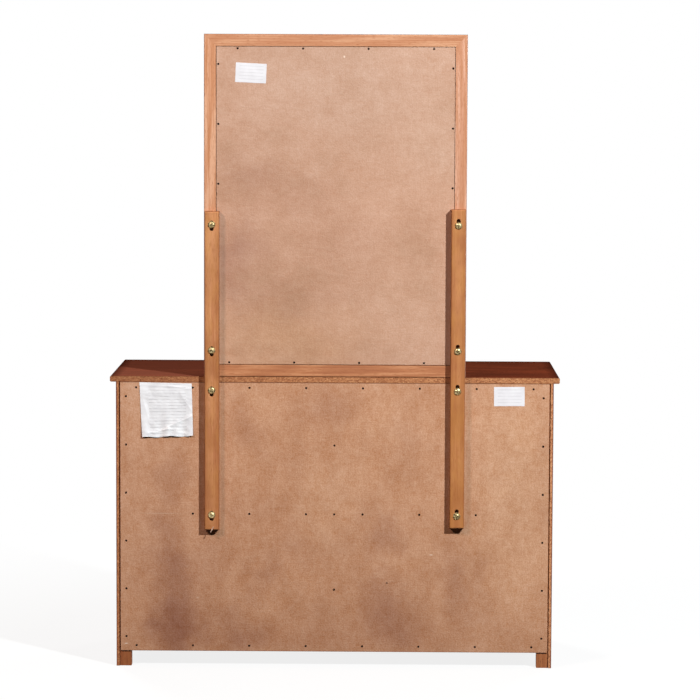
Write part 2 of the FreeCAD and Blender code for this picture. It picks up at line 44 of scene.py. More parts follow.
# The metres between the boards that different pieces are cut from.
BOARDS_APART = (7.0, 5.0, 3.0)
# Sockets of Map Range: 1 and 2 limit what goes in, 3 and 4 what comes out. Most noise lies in this range.
USUAL = {1: 0.3, 2: 0.7}
# The figure of planed wood: width and length in millimetres, and levels of detail. Real fibres and pores
# are a fifth as wide, which is too fine to show, so they are drawn coarser.
GRAIN_BAND = (95.0, 900.0, 1.0)
GRAIN_STREAK = (5.0, 240.0, 3.0)
GRAIN_FIBRE = (1.5, 45.0, 2.0)
GRAIN_PORE = (1.2, 14.0, 0.0)
RING_TURNS = 55.0
RING_WEIGHT = 0.09
BAND_WEIGHT = 0.5
FIBRE_WEIGHT = 0.35
GRAIN_STOPS = (0.65, 0.9, 1.0)
OPEN_PORES = {1: 0.62, 2: 0.72, 3: 0.0, 4: 0.55}
SMOOTHER = 0.07
ROUGHER = 0.09


def linear(code):
    """An sRGB colour written as "#rrggbb", as the linear values that a shader takes."""
    shares = [int(code[i:i + 2], 16) / 255 for i in (1, 3, 5)]
    return [s / 12.92 if s <= 0.04045 else ((s + 0.055) / 1.055) ** 2.4 for s in shares] + [1.0]


def add(tree, kind, inputs=None, stops=None, **settings):
    """Adds a shader node. An input is a value, or the output of another node to link to it. Stops are
    the places and colours of a colour ramp."""
    made = tree.nodes.new("ShaderNode" + kind)
    for name, value in settings.items():
        setattr(made, name, value)
    for key, value in (inputs or {}).items():
        if isinstance(value, bpy.types.NodeSocket):
            tree.links.new(value, made.inputs[key])
        else:
            made.inputs[key].default_value = value
    if stops:
        ramp = made.color_ramp.elements
        places, codes = zip(*stops)
        ramp[0].position, ramp[1].position = places[0], places[-1]
        for place in places[1:-1]:
            ramp.new(place)
        for element, code in zip(ramp, codes):
            element.color = linear(code)
    return made


def mottle(tree, sizes, detail=2.0, apart=True, fineness=0.5):
    """Noise in lumps of the given millimetres along X, Y and Z. Each piece is cut from its own board
    when apart is true, so the lumps don't run on from one piece to the next. Each level of detail is
    half as large as the one before it, and fineness times as strong."""
    place = add(tree, "TexCoord").outputs["Object"]
    if apart:
        own = add(tree, "ObjectInfo").outputs["Random"]
        board = add(tree, "VectorMath", {0: BOARDS_APART, "Scale": own}, operation="SCALE")
        place = add(tree, "VectorMath", {0: place, 1: board.outputs[0]}).outputs[0]
    counted = add(tree, "Mapping", {"Vector": place, "Scale": [MM_PER_METRE / s for s in sizes]})
    levels = {"Scale": 1.0, "Detail": detail, "Roughness": fineness}
    return add(tree, "TexNoise", {"Vector": counted.outputs[0], **levels}).outputs[0]


def grain(tree, along, tones, pore, roughness):
    """Colour, roughness and height of planed wood with its grain along one axis. The tones go from dark
    to light."""
    def stretched(width, length, detail):
        return mottle(tree, [length if axis == along else width for axis in range(3)], detail)

    band = stretched(*GRAIN_BAND)
    streaks = stretched(*GRAIN_STREAK)
    fibres = stretched(*GRAIN_FIBRE)
    vessels = stretched(*GRAIN_PORE)
    turns = add(tree, "Math", {0: band, 1: RING_TURNS}, operation="MULTIPLY").outputs[0]
    rings = add(tree, "Math", {0: turns}, operation="SINE").outputs[0]
    ringed = add(tree, "Math", {0: rings, 1: RING_WEIGHT, 2: streaks}, operation="MULTIPLY_ADD").outputs[0]
    cloudy = add(tree, "Math", {0: band, 1: BAND_WEIGHT, 2: ringed}, operation="MULTIPLY_ADD").outputs[0]
    tone = add(tree, "Math", {0: fibres, 1: FIBRE_WEIGHT, 2: cloudy}, operation="MULTIPLY_ADD").outputs[0]
    ramp = add(tree, "ValToRGB", {0: tone}, list(zip(GRAIN_STOPS, tones)))
    pores = add(tree, "MapRange", {0: vessels, **OPEN_PORES}).outputs[0]
    colour = add(tree, "Mix", {0: pores, 6: ramp.outputs[0], 7: linear(pore)}, data_type="RGBA")
    spread = {3: roughness - SMOOTHER, 4: roughness + ROUGHER}
    rough = add(tree, "MapRange", {0: streaks, **USUAL, **spread})
    height = add(tree, "Math", {0: pores, 1: -1.0, 2: fibres}, operation="MULTIPLY_ADD")
    return colour.outputs[2], rough.outputs[0], height.outputs[0]


def material(name, look, relief, **constants):
    """A finished surface: look(tree) gives colour, roughness and height, relief is in millimetres."""
    made = bpy.data.materials.new(name)
    made.use_nodes = True
    tree = made.node_tree
    tree.nodes.clear()
    colour, rough, height = look(tree)
    bump = add(tree, "Bump", {"Height": height, "Distance": relief / MM_PER_METRE})
    inputs = {"Base Color": colour, "Roughness": rough, "Normal": bump.outputs[0]}
    shader = add(tree, "BsdfPrincipled", {**inputs, **constants})
    add(tree, "OutputMaterial", {"Surface": shader.outputs[0]})
    return made


def dress(names, finish):
    """Gives CAD pieces their finish."""
    for name in names:
        nodes[name].data.materials.clear()
        nodes[name].data.materials.append(finish)


# Bare rubberwood: pale straw brown with short open pores, and dull because nothing seals it.
RUBBERWOOD = ("#b38a5f", "#c49c6e", "#d1ac80")
RUBBERWOOD_PORE = "#8a6240"
BARE_ROUGHNESS = 0.72
BARE_RELIEF = 0.25
DULL = {"Specular IOR Level": 0.25}
bare_wood = {
    axis: material(
        "bare_rubberwood_" + label,
        lambda tree, axis=axis: grain(tree, axis, RUBBERWOOD, RUBBERWOOD_PORE, BARE_ROUGHNESS),
        BARE_RELIEF,
        **DULL,
    )
    for axis, label in ((ACROSS, "rail"), (FORWARDS, "runner"), (UPRIGHT, "post"))
}
dress(["back_top_rail", "back_middle_rail", "back_bottom_rail"], bare_wood[ACROSS])
dress(["drawer_runners"], bare_wood[FORWARDS])
dress(["centre_partition", "drawer_stops"], bare_wood[UPRIGHT])

# Rear posts: square lengths of rubberwood behind the edges of the back panel. Their lower ends are the
# rear feet, so they are brushed with a thin red-brown wash, through which the grain still shows. A dark
# line under the edge of the panel is painted shade.
WASHED = {"left": ("#995a34", "#a2623b", "#aa6a41"), "right": ("#8a4b29", "#92532f", "#9a5b34")}
WASHED_PORE = "#6b3d25"
WASHED_ROUGHNESS = 0.62
WASHED_RELIEF = 0.2
SHADE_UNDER_PANEL = 3.2
SHADE_UNDER_PANEL_TONE = "#45200f"
panel_low, panel_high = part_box("back_panel")


def post_look(tree, tones):
    """Washed wood, with a line of painted shade under the panel."""
    look = grain(tree, UPRIGHT, tones, WASHED_PORE, WASHED_ROUGHNESS)
    place = add(tree, "SeparateXYZ", {0: add(tree, "TexCoord").outputs["Object"]})
    # A line of painted shade under the panel's edge.
    line = panel_low.z - SHADE_UNDER_PANEL / MM_PER_METRE
    close = add(tree, "Math", {0: place.outputs[2], 1: line}, operation="GREATER_THAN")
    lined = {0: close.outputs[0], 6: look[0], 7: linear(SHADE_UNDER_PANEL_TONE)}
    return (add(tree, "Mix", lined, data_type="RGBA").outputs[2], *look[1:])


for side, tones in WASHED.items():
    finish = material(
        "washed_rubberwood_" + side,
        lambda tree, tones=tones: post_look(tree, tones),
        WASHED_RELIEF,
        **DULL,
    )
    dress(["rear_post_" + side], finish)

# Side panels: particle board faced with veneer and stained a dark reddish brown under satin lacquer.
# Their rear edges were sawn and left raw, so the chips show there, inside the thin line of the facing.
# The rabbet beside that edge took the same wash as the posts at the feet, with painted shade in its corner.
CHERRY = ("#532519", "#652e1f", "#783924")
CHERRY_PORE = "#3a1a11"
LACQUER_ROUGHNESS = 0.46
SATIN = {"Specular IOR Level": 0.3, "IOR": 1.45}
CHIP_TONES = [(0.0, "#9b5e39"), (0.35, "#af6f46"), (0.75, "#bd7c4f"), (1.0, "#cb8e5f")]
PALE_CHIPS = [(0.0, "#ac6c45"), (0.35, "#c07f56"), (0.75, "#ce8e62"), (1.0, "#dca174")]
CHIP_LENGTH = 5.0
CHIP_WIDTH = 2.4
PIT_SIZE = 3.2
PIT_TONE = "#5a3220"
OPEN_PITS = {1: 0.6, 2: 0.68, 3: 0.0, 4: 0.5}
SAWN_ROUGHNESS = {3: 0.8, 4: 0.95}
SAWN_RELIEF = 0.2
SQUARE_ON = {1: 0.6, 2: 0.9}
FACING = 2.2
EDGE_SHOWN = 7.9
SEAM = 2.4
SEAM_SHADE = "#6e3a1d"


def chips(tree, along, tones):
    """Colour, roughness and height of a sawn edge of particle board: pressed chips and dark pits."""
    sizes = [CHIP_LENGTH if axis == along else CHIP_WIDTH for axis in range(3)]
    place = add(tree, "TexCoord").outputs["Object"]
    counted = add(tree, "Mapping", {"Vector": place, "Scale": [MM_PER_METRE / s for s in sizes]})
    cells = add(tree, "TexVoronoi", {"Vector": counted.outputs[0], "Scale": 1.0, "Randomness": 1.0})
    shade = add(tree, "SeparateColor", {0: cells.outputs["Color"]}).outputs[0]
    tone = add(tree, "ValToRGB", {0: shade}, tones)
    pits = mottle(tree, [PIT_SIZE] * 3, 1.0, False)
    pitted = add(tree, "MapRange", {0: pits, **OPEN_PITS}).outputs[0]
    colour = add(tree, "Mix", {0: pitted, 6: tone.outputs[0], 7: linear(PIT_TONE)}, data_type="RGBA")
    rough = add(tree, "MapRange", {0: pits, **USUAL, **SAWN_ROUGHNESS})
    height = add(tree, "Math", {0: pitted, 1: -1.0, 2: shade}, operation="MULTIPLY_ADD")
    return colour.outputs[2], rough.outputs[0], height.outputs[0]


def over(tree, share, upper, lower):
    """One look laid over another, as far as share goes."""
    colour = add(tree, "Mix", {0: share, 6: lower[0], 7: upper[0]}, data_type="RGBA")
    rough = add(tree, "Mix", {0: share, 2: lower[1], 3: upper[1]})
    height = add(tree, "Mix", {0: share, 2: lower[2], 3: upper[2]})
    return colour.outputs[2], rough.outputs[0], height.outputs[0]


def facing(tree, axis):
    """How far a surface faces the plus side of an axis."""
    normal = add(tree, "SeparateXYZ", {0: add(tree, "TexCoord").outputs["Normal"]})
    return add(tree, "MapRange", {0: normal.outputs[axis], **SQUARE_ON}).outputs[0]


def lacquered(tree, along):
    """Stained wood under satin lacquer: dark and reddish, with soft highlights."""
    return grain(tree, along, CHERRY, CHERRY_PORE, LACQUER_ROUGHNESS)


def side_look(tree, tones, wash):
    """Lacquer all round, and behind it the raw edge between the facing and the washed rabbet, which has
    painted shade in its corner.
    """
    place = add(tree, "SeparateXYZ", {0: add(tree, "TexCoord").outputs["Object"]})
    reach = add(tree, "Math", {0: place.outputs[0]}, operation="ABSOLUTE").outputs[0]
    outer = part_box("side_panel_right")[1].x
    corner = outer - EDGE_SHOWN / MM_PER_METRE
    behind = facing(tree, FORWARDS)
    inside = add(tree, "Math", {0: reach, 1: outer - FACING / MM_PER_METRE}, operation="LESS_THAN")
    raw = add(tree, "Math", {0: inside.outputs[0], 1: behind}, operation="MULTIPLY").outputs[0]
    sawn = over(tree, raw, chips(tree, UPRIGHT, tones), lacquered(tree, UPRIGHT))
    stepped = add(tree, "Math", {0: reach, 1: corner}, operation="LESS_THAN")
    washed = add(tree, "Math", {0: stepped.outputs[0], 1: behind}, operation="MULTIPLY").outputs[0]
    look = over(tree, washed, grain(tree, UPRIGHT, wash, WASHED_PORE, WASHED_ROUGHNESS), sawn)
    # Painted shade in the rabbet's corner beside the gap.
    close = add(tree, "Math", {0: reach, 1: corner - SEAM / MM_PER_METRE}, operation="GREATER_THAN")
    darkened = add(tree, "Math", {0: close.outputs[0], 1: washed}, operation="MULTIPLY")
    seamed = {0: darkened.outputs[0], 6: look[0], 7: linear(SEAM_SHADE)}
    return (add(tree, "Mix", seamed, data_type="RGBA").outputs[2], *look[1:])


for side, tones in (("left", PALE_CHIPS), ("right", CHIP_TONES)):
    finish = material(
        "stained_side_panel_" + side,
        lambda tree, tones=tones, wash=WASHED[side]: side_look(tree, tones, wash),
        SAWN_RELIEF,
        **SATIN,
    )
    dress(["side_panel_" + side], finish)

# Face frame: posts, a mullion and rails of solid rubberwood, dowelled together at the front and
# stained and lacquered like the sides. The grain runs along each length.
LACQUER_RELIEF = 0.15
cherry = {
    axis: material(
        "stained_wood_" + label, lambda tree, axis=axis: lacquered(tree, axis), LACQUER_RELIEF, **SATIN
    )
    for axis, label in ((UPRIGHT, "upright"), (ACROSS, "across"))
}
dress(["front_post_left", "front_post_right", "front_mullion"], cherry[UPRIGHT])
dress(["front_top_rail", "front_middle_rails", "front_bottom_rail"], cherry[ACROSS])

# Back panel: thin hardboard, its mesh-marked side outwards, nailed to the posts, rails and partition.
# It was sprayed with a thin tan wash by hand, which left clouds, and storage has scuffed it.
# Pressed fibre is matt and softly speckled, with a faint mesh of lines both ways.
PANEL_TONES = [(0.3, "#c59678"), (0.5, "#d1a283"), (0.72, "#dcae8f")]
PANEL_SPECK = "#e2cdb7"
PANEL_UPRIGHT = 1.3
MATT = {"Specular IOR Level": 0.0}
# Sizes in millimetres. Real fibres are a tenth as wide, which is too fine to show.
WASH_BAND = 260.0
WASH_PATCH = 70.0
FELTED = 38.0
FIBRE = 3.0
MESH_LINE = (26.0, 3.0)
DRIFT_SIZE = 85.0
DRIFT = 130.0
NOISE_MIDDLE = 0.5
BROKEN = {3: 0.8, 4: 1.2}
FELTED_WEIGHT = 3.5
FLECK_WEIGHT = 4.0
SPECKLED = {1: 3.55, 2: 5.95}
UNCHANGED = "#ffffff"
BOARD_ROUGHNESS = {3: 0.74, 4: 0.9}
BOARD_RELIEF = 0.12
BLOT_REACH = 1.5


def blot(tree, place, x, z, half_width, half_height, strength):
    """A soft-edged patch on a board, by its centre and half sizes in millimetres."""
    centre = (x / MM_PER_METRE, panel_high.y, z / MM_PER_METRE)
    offset = add(tree, "VectorMath", {0: place, 1: centre}, operation="SUBTRACT")
    flat = (MM_PER_METRE / half_width, 0.0, MM_PER_METRE / half_height)
    counted = add(tree, "VectorMath", {0: offset.outputs[0], 1: flat}, operation="MULTIPLY")
    ball = add(tree, "VectorMath", {0: counted.outputs[0]}, operation="LENGTH")
    fading = {0: ball.outputs["Value"], 1: BLOT_REACH, 2: 0.0, 3: 0.0, 4: strength}
    return add(tree, "MapRange", fading, interpolation_type="SMOOTHSTEP").outputs[0]


def hardboard(tree, tones, speck, upright, clouds, marks):
    """Colour, roughness and height of sprayed hardboard. A cloud is a patch where the wash has another
    colour, and it drifted as it was sprayed; some clouds are painted shade, and one is partly painted
    light. A mark is a scuff, a spot or a line of painted shade on top. The darkest fibres are the tone
    times speck, and patches are upright times as tall as they are wide."""
    wide = mottle(tree, [WASH_BAND] * 3, 1.0)
    near = mottle(tree, [WASH_PATCH, WASH_PATCH, WASH_PATCH * upright], 2.0)
    patchy = mottle(tree, [FELTED, FELTED, FELTED * upright], 3.0, fineness=1.0)
    fibre = mottle(tree, [FIBRE] * 3, 3.0)
    length, width = MESH_LINE
    weft = mottle(tree, [length, width, width], 1.0)
    warp = mottle(tree, [width, width, length], 1.0)
    clouded = add(tree, "Math", {0: wide, 1: near}, operation="ADD").outputs[0]
    evened = add(tree, "Math", {0: clouded, 1: 0.5}, operation="MULTIPLY")
    tone = add(tree, "ValToRGB", {0: evened.outputs[0]}, tones).outputs[0]
    broken = add(tree, "MapRange", {0: near, **USUAL, **BROKEN}).outputs[0]
    place = add(tree, "TexCoord").outputs["Object"]
    eddies = add(tree, "TexNoise", {"Vector": place, "Scale": MM_PER_METRE / DRIFT_SIZE, "Detail": 2.0})
    swirl = {0: eddies.outputs["Color"], 1: [NOISE_MIDDLE] * 3}
    offset = add(tree, "VectorMath", swirl, operation="SUBTRACT")
    drift = {0: offset.outputs[0], 1: [DRIFT / MM_PER_METRE] * 3, 2: place}
    drifted = add(tree, "VectorMath", drift, operation="MULTIPLY_ADD").outputs[0]
    for wash, *cloud in clouds:
        covered = blot(tree, drifted, *cloud)
        share = add(tree, "Math", {0: covered, 1: broken}, operation="MULTIPLY").outputs[0]
        tone = add(tree, "Mix", {0: share, 6: tone, 7: linear(wash)}, data_type="RGBA").outputs[2]
    lines = add(tree, "Math", {0: weft, 1: warp}, operation="ADD").outputs[0]
    meshed = add(tree, "Math", {0: patchy, 1: FELTED_WEIGHT, 2: lines}, operation="MULTIPLY_ADD").outputs[0]
    speckle = add(tree, "Math", {0: fibre, 1: FLECK_WEIGHT, 2: meshed}, operation="MULTIPLY_ADD").outputs[0]
    share = add(tree, "MapRange", {0: speckle, **SPECKLED})
    level = add(tree, "ValToRGB", {0: share.outputs[0]}, [(0.0, speck), (1.0, UNCHANGED)])
    speckled = {0: 1.0, 6: tone, 7: level.outputs[0]}
    colour = add(tree, "Mix", speckled, data_type="RGBA", blend_type="MULTIPLY").outputs[2]
    for tint, *mark in marks:
        marked = {0: blot(tree, place, *mark), 6: colour, 7: linear(tint)}
        colour = add(tree, "Mix", marked, data_type="RGBA").outputs[2]
    rough = add(tree, "MapRange", {0: fibre, **USUAL, **BOARD_ROUGHNESS})
    return colour, rough.outputs[0], speckle


# Each cloud and mark: its colour, its centre along X and Z, half its width and height, and its strength.
STAIN = "#774139"
PALE = "#e6bd9d"
PALEST = "#eecbb3"
PANEL_CLOUDS = [
    (STAIN, 440.0, 210.0, 92.0, 150.0, 0.36),
    (STAIN, 432.0, 112.0, 70.0, 80.0, 0.42),
    (STAIN, 445.0, 285.0, 66.0, 56.0, 0.26),
    (STAIN, 471.0, 373.0, 52.0, 52.0, 0.2),
    (STAIN, 437.0, 505.0, 40.0, 80.0, 0.18),
    (STAIN, 396.0, 72.0, 50.0, 46.0, 0.22),
    (STAIN, 293.0, 128.0, 60.0, 70.0, 0.18),
    (STAIN, 239.0, 84.0, 66.0, 44.0, 0.24),
    (STAIN, 199.0, 249.0, 46.0, 56.0, 0.2),
    (STAIN, -127.0, 183.0, 78.0, 70.0, 0.28),
    (STAIN, -170.0, 122.0, 90.0, 70.0, 0.3),
    (STAIN, -344.0, 245.0, 46.0, 100.0, 0.24),
    (STAIN, 20.0, 720.0, 90.0, 66.0, 0.18),
    (STAIN, 229.0, 632.0, 46.0, 46.0, 0.12),
    (STAIN, -190.0, 632.0, 46.0, 90.0, 0.1),
    (STAIN, -138.0, 362.0, 60.0, 66.0, 0.24),
    (STAIN, 124.0, 325.0, 60.0, 50.0, 0.1),
    (STAIN, 0.0, 330.0, 220.0, 50.0, 0.06),
    (STAIN, 480.0, 185.0, 42.0, 70.0, 0.14),
    (STAIN, -371.0, 150.0, 50.0, 60.0, 0.12),
    (STAIN, 335.0, 310.0, 40.0, 60.0, 0.14),
    # A wide band along the lower edge: painted shade, darker towards the bottom.
    (STAIN, 0.0, 40.0, 620.0, 130.0, 0.16),
    (STAIN, 500.0, 450.0, 120.0, 330.0, 0.08),
    # A tall patch towards -X: partly a paler wash, partly painted light on that side.
    (PALE, -480.0, 500.0, 130.0, 290.0, 0.45),
    (PALE, 216.0, 740.0, 50.0, 40.0, 0.25),
    (PALE, -138.0, 660.0, 40.0, 44.0, 0.12),
    (PALE, 12.0, 450.0, 110.0, 150.0, 0.2),
    (PALEST, 555.0, 735.0, 36.0, 70.0, 0.35),
]
# The last two marks are painted shade in the gaps at the panel's upper and lower edges, too long to fade
# out.
SCUFFED = "#f0d9c4"
SPOT = "#2e1a12"
UPPER_GAP_SHADE = "#5a2c19"
LOWER_GAP_SHADE = "#6e4032"
GAP_LENGTH = 4000.0
PANEL_MARKS = [
    (SCUFFED, 567.0, 62.0, 5.0, 2.0, 0.75),
    (SCUFFED, 372.0, 190.0, 4.0, 2.2, 0.3),
    (SCUFFED, 470.0, 421.0, 60.0, 1.4, 0.2),
    (SCUFFED, -264.0, 311.0, 5.0, 2.0, 0.6),
    (SPOT, -144.0, 233.0, 2.6, 2.6, 1.0),
    (UPPER_GAP_SHADE, 0.0, panel_high.z * MM_PER_METRE, GAP_LENGTH, 1.7, 0.85),
    (LOWER_GAP_SHADE, 0.0, panel_low.z * MM_PER_METRE, GAP_LENGTH, 1.7, 0.6),
]
panel_board = material(
    "sprayed_hardboard",
    lambda tree: hardboard(tree, PANEL_TONES, PANEL_SPECK, PANEL_UPRIGHT, PANEL_CLOUDS, PANEL_MARKS),
    BOARD_RELIEF,
    **MATT,
)
dress(["back_panel"], panel_board)

# Nails of the back panel and of the mirror's backing: plain wire nails with flat heads, driven flush.
# Dark phosphated steel, brown with the dust that has settled on it.
STEEL_TONES = [(0.3, "#170e0a"), (0.55, "#241711"), (0.8, "#3d2a20")]
STEEL_ROUGHNESS = {3: 0.45, 4: 0.7}
STEEL_RELIEF = 0.05
DUST_SPOT = 1.6
DUSTY = {"Specular IOR Level": 0.05}


def dark_steel(tree):
    spots = mottle(tree, [DUST_SPOT] * 3)
    tone = add(tree, "ValToRGB", {0: spots}, STEEL_TONES)
    rough = add(tree, "MapRange", {0: spots, **USUAL, **STEEL_ROUGHNESS})
    return tone.outputs[0], rough.outputs[0], spots


nail_steel = material("phosphated_steel", dark_steel, STEEL_RELIEF, **DUSTY)
dress(["back_panel_nails", "mirror_backing_nails"], nail_steel)

# Top board: veneered particle board, rounded over at its front and ends, stained, lacquered and screwed
# down from inside. Its rear edge was sawn after lacquering and is raw. Dusting has dulled the lacquer.
# Painted shade darkens it along the rounded edges and towards the front, and it is lighter towards +X,
# partly a faded tone and partly a painted sheen.
TOP_CHERRY = ("#4a2317", "#632d1c", "#793722")
TOP_ROUGHNESS = 0.72
EDGE_DARK = "#35170e"
EDGE_REACH = 30.0
EDGE_SHARE = 0.85
FRONT_SHARE = 0.35
FADED_AND_SHEEN = "#8c503d"
# The faded tone and painted sheen come on between these two metres along X, and the soiling from its own to
# the end.
FADED_AND_SHEEN_RANGE = {1: 0.1, 2: 0.4, 3: 0.0, 4: 0.54}
SAWN_CHIPS = [(0.0, "#9e6443"), (0.35, "#b27650"), (0.75, "#c08359"), (1.0, "#ce9569")]
SOILED = "#6b3824"
SOILED_FROM = 0.1
SOILED_SHARE = 0.4
TOP_FACING = 2.0
TOP_FACING_SHARE = 0.6
top_low, top_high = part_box("top_board")


def top_look(tree):
    """Dulled lacquer with painted shade towards the front and along the edges, a faded tone and painted
    sheen towards +X, and the raw edge behind.
    """
    colour, rough, height = grain(tree, ACROSS, TOP_CHERRY, CHERRY_PORE, TOP_ROUGHNESS)
    x, y, z = add(tree, "SeparateXYZ", {0: add(tree, "TexCoord").outputs["Object"]}).outputs
    reach = add(tree, "Math", {0: x}, operation="ABSOLUTE").outputs[0]
    to_end = add(tree, "Math", {0: top_high.x, 1: reach}, operation="SUBTRACT").outputs[0]
    to_front = add(tree, "Math", {0: y, 1: top_low.y}, operation="SUBTRACT").outputs[0]
    nearest = add(tree, "Math", {0: to_end, 1: to_front}, operation="MINIMUM").outputs[0]
    # Painted sheen with the faded tone towards +X, painted shade towards the front and along the edges.
    faded_and_sheen_share = add(tree, "MapRange", {0: x, **FADED_AND_SHEEN_RANGE})
    depth = top_high.y - top_low.y
    wear_and_shade = add(tree, "MapRange", {0: to_front, 1: depth, 2: 0.0, 3: 0.0, 4: FRONT_SHARE})
    rim = EDGE_REACH / MM_PER_METRE
    edge_shade = add(tree, "MapRange", {0: nearest, 1: rim, 2: 0.0, 3: 0.0, 4: EDGE_SHARE})
    for share, tint in ((faded_and_sheen_share, FADED_AND_SHEEN), (wear_and_shade, EDGE_DARK), (edge_shade, EDGE_DARK)):
        toned = {0: share.outputs[0], 6: colour, 7: linear(tint)}
        colour = add(tree, "Mix", toned, data_type="RGBA").outputs[2]
    edge, edge_rough, edge_height = chips(tree, ACROSS, SAWN_CHIPS)
    soiled = add(tree, "MapRange", {0: x, 1: SOILED_FROM, 2: top_high.x, 3: 0.0, 4: SOILED_SHARE})
    to_top = add(tree, "Math", {0: top_high.z, 1: z}, operation="SUBTRACT").outputs[0]
    to_under = add(tree, "Math", {0: z, 1: top_low.z}, operation="SUBTRACT").outputs[0]
    to_face = add(tree, "Math", {0: to_top, 1: to_under}, operation="MINIMUM").outputs[0]
    skin = TOP_FACING / MM_PER_METRE
    faced = add(tree, "MapRange", {0: to_face, 1: skin, 2: 0.0, 3: 0.0, 4: TOP_FACING_SHARE})
    for share, tint in ((soiled, SOILED), (faced, EDGE_DARK)):
        toned = {0: share.outputs[0], 6: edge, 7: linear(tint)}
        edge = add(tree, "Mix", toned, data_type="RGBA").outputs[2]
    return over(tree, facing(tree, FORWARDS), (edge, edge_rough, edge_height), (colour, rough, height))


dress(["top_board"], material("stained_top_board", top_look, LACQUER_RELIEF, **MATT))

# Drawers: six boxes of bare rubberwood with hardboard bottoms slid into grooves, behind lapped fronts
# that are stained and lacquered like the face frame. The bottoms have the panel's board, without clouds.
ROWS = ("bottom", "middle", "top")
DRAWERS = ["drawer_" + row + "_" + side for side in ("left", "right") for row in ROWS]
plain_board = material(
    "plain_hardboard",
    lambda tree: hardboard(tree, PANEL_TONES, PANEL_SPECK, 1.0, [], []),
    BOARD_RELIEF,
    **DULL,
)
dress([drawer + "_front" for drawer in DRAWERS], cherry[ACROSS])
dress([drawer + "_sides" for drawer in DRAWERS], bare_wood[FORWARDS])
dress([drawer + "_back" for drawer in DRAWERS], bare_wood[ACROSS])
dress([drawer + "_bottom" for drawer in DRAWERS], plain_board)

# Knobs: turned brass, polished on the lathe and lacquered, each drawn up tight by a screw from inside.
# The polish gives clear highlights, dulled in patches by handling.
BRASS_TONES = [(0.3, "#a3854a"), (0.55, "#b8994f"), (0.8, "#cbb068")]
BRASS_ROUGHNESS = {3: 0.18, 4: 0.3}
BRASS_RELIEF = 0.02
HANDLED_PATCH = 14.0
LATHE_MARK = 1.2


def brass(tree):
    wear_and_shade = mottle(tree, [HANDLED_PATCH] * 3)
    turned = mottle(tree, [LATHE_MARK] * 3, 1.0)
    tone = add(tree, "ValToRGB", {0: wear_and_shade}, BRASS_TONES)
    rough = add(tree, "MapRange", {0: wear_and_shade, **USUAL, **BRASS_ROUGHNESS})
    return tone.outputs[0], rough.outputs[0], turned


turned_brass = material("lacquered_brass", brass, BRASS_RELIEF, Metallic=1.0)
dress([drawer + "_knobs" for drawer in DRAWERS], turned_brass)

# Mirror frame: four mitred lengths of rubberwood. The front and edges are stained and lacquered with the
# case, and the back is only sanded and sealed, so it stays a light orange brown with clear grain.
SEALED = {
    "top": (ACROSS, ("#b47753", "#c38a66", "#cf9b77")),
    # The bottom length's tones are darker, a painted shade.
    "bottom": (ACROSS, ("#a96a47", "#bb7b53", "#c98b62")),
    "left": (UPRIGHT, ("#ba7f5a", "#c99172", "#d5a387")),
    "right": (UPRIGHT, ("#bc7f56", "#cb926e", "#d7a482")),
}
SEALED_PORE = "#a3643f"
SEALED_ROUGHNESS = 0.58


def frame_look(tree, along, tones):
    sealed = grain(tree, along, tones, SEALED_PORE, SEALED_ROUGHNESS)
    return over(tree, facing(tree, FORWARDS), sealed, lacquered(tree, along))


for length, (along, tones) in SEALED.items():
    finish = material(
        "sealed_frame_" + length,
        lambda tree, along=along, tones=tones: frame_look(tree, along, tones),
        LACQUER_RELIEF,
        **SATIN,
    )
    dress(["mirror_frame_" + length], finish)

# Mirror glass: float glass silvered on its back, laid in the frame from behind.
# Silver seen through glass: a clear reflection with a faint green cast.
SILVER_TONES = [(0.3, "#dee6e3"), (0.7, "#e0e8e5")]
SILVER_ROUGHNESS = {3: 0.01, 4: 0.03}
FLOAT_RIPPLE = 180.0
FLOAT_RELIEF = 0.001


def silvering(tree):
    ripple = mottle(tree, [FLOAT_RIPPLE] * 3, 1.0)
    tone = add(tree, "ValToRGB", {0: ripple}, SILVER_TONES)
    rough = add(tree, "MapRange", {0: ripple, **USUAL, **SILVER_ROUGHNESS})
    return tone.outputs[0], rough.outputs[0], ripple


dress(["mirror_glass"], material("silvered_glass", silvering, FLOAT_RELIEF, Metallic=1.0))

# Backing of the mirror: hardboard laid over the glass and pinned into the frame's ledge.
# It was sprayed like the back panel, with a smoother and paler wash that goes pink towards the top.
BACKING_TONES = [(0.3, "#bc947a"), (0.5, "#c89f86"), (0.72, "#d2aa92")]
BACKING_SPECK = "#eee3da"
BACKING_UPRIGHT = 0.8
PINK = "#c9af9e"
OLIVE = "#d29f6c"
ROSY = "#d4b6a2"
SANDY = "#dcb69d"
BACKING_CLOUDS = [
    (PINK, 0.0, 1660.0, 480.0, 320.0, 0.45),
    (OLIVE, 150.0, 890.0, 260.0, 110.0, 0.22),
    (STAIN, 225.0, 1350.0, 80.0, 56.0, 0.13),
    (STAIN, 110.0, 1300.0, 110.0, 60.0, 0.07),
    (STAIN, 240.0, 1210.0, 70.0, 130.0, 0.06),
    (STAIN, 222.0, 1131.0, 60.0, 44.0, 0.16),
    (STAIN, 160.0, 1020.0, 150.0, 44.0, 0.05),
    (STAIN, -20.0, 1180.0, 120.0, 90.0, 0.05),
    (STAIN, 282.0, 1110.0, 46.0, 110.0, 0.22),
    (PALE, 180.0, 870.0, 180.0, 60.0, 0.15),
    (ROSY, -270.0, 1430.0, 90.0, 110.0, 0.3),
    (SANDY, -190.0, 950.0, 170.0, 170.0, 0.33),
]
BACKING_MARKS = [(SCUFFED, -23.0, 1662.0, 2.8, 3.2, 0.9)]


def backing_look(tree):
    return hardboard(tree, BACKING_TONES, BACKING_SPECK, BACKING_UPRIGHT, BACKING_CLOUDS, BACKING_MARKS)


dress(["mirror_backing"], material("pink_hardboard", backing_look, BOARD_RELIEF, **MATT))
